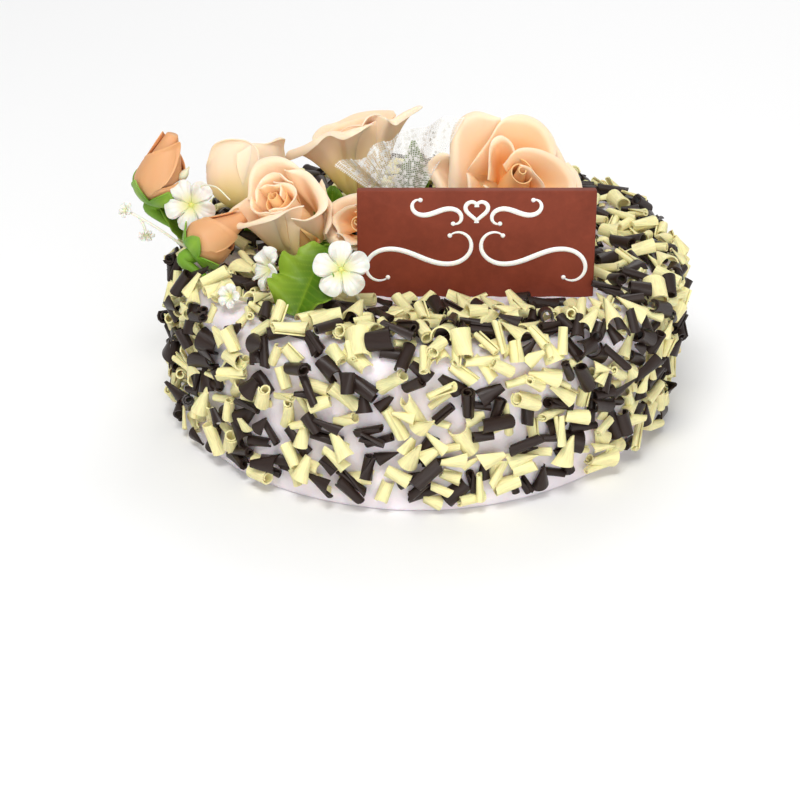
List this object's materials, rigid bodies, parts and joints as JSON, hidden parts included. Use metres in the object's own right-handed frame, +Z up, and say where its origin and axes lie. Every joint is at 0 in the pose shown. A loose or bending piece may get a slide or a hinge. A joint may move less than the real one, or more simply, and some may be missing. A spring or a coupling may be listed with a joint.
{
  "type": "birthday cake",
  "caption": "Round cream cake covered in chocolate curls, with a spray of sugar roses, buds, blossoms, leaves and tulle behind a standing chocolate plaque.",
  "frame": {"origin": "centre of the cake's flat base, where it rests", "axes": "+Z up, the plaque's face looks along -Y, and the spray of flowers lies towards -X and +Y"},
  "size_m": [0.2166, 0.2035, 0.1179],
  "materials": {
    "cream": "soft matte whipped cream",
    "chocolate": "mottled satin chocolate",
    "peach_paste": "smooth satin sugar paste",
    "deep_peach_paste": "smooth satin sugar paste",
    "green_paste": "smooth satin sugar paste",
    "white_paste": "smooth satin sugar paste",
    "net": "sheer sparkling net"
  },
  "bodies": {
    "root": {"cake": "cream", "plaque": "chocolate", "rose_open": "peach_paste", "rose_open_calyx": "green_paste", "rose_flared": "peach_paste", "rose_flared_calyx": "green_paste", "rose_cupped": "peach_paste", "rose_cupped_calyx": "green_paste", "rose_turned_away": "peach_paste", "rose_turned_away_calyx": "green_paste", "rose_small": "peach_paste", "rose_small_calyx": "green_paste", "bud_upright": "deep_peach_paste", "bud_upright_calyx": "green_paste", "bud_lying": "deep_peach_paste", "bud_lying_calyx": "green_paste", "blossom_front": "white_paste", "blossom_left": "white_paste", "blossom_side": "white_paste", "blossom_edge": "white_paste", "leaf_front": "green_paste", "leaf_under_cupped": "green_paste", "leaf_between": "green_paste", "leaf_behind_tulle": "green_paste", "leaf_under_bud": "green_paste", "tulle": "net", "sprig": "white_paste"}
  },
  "joints": []
}
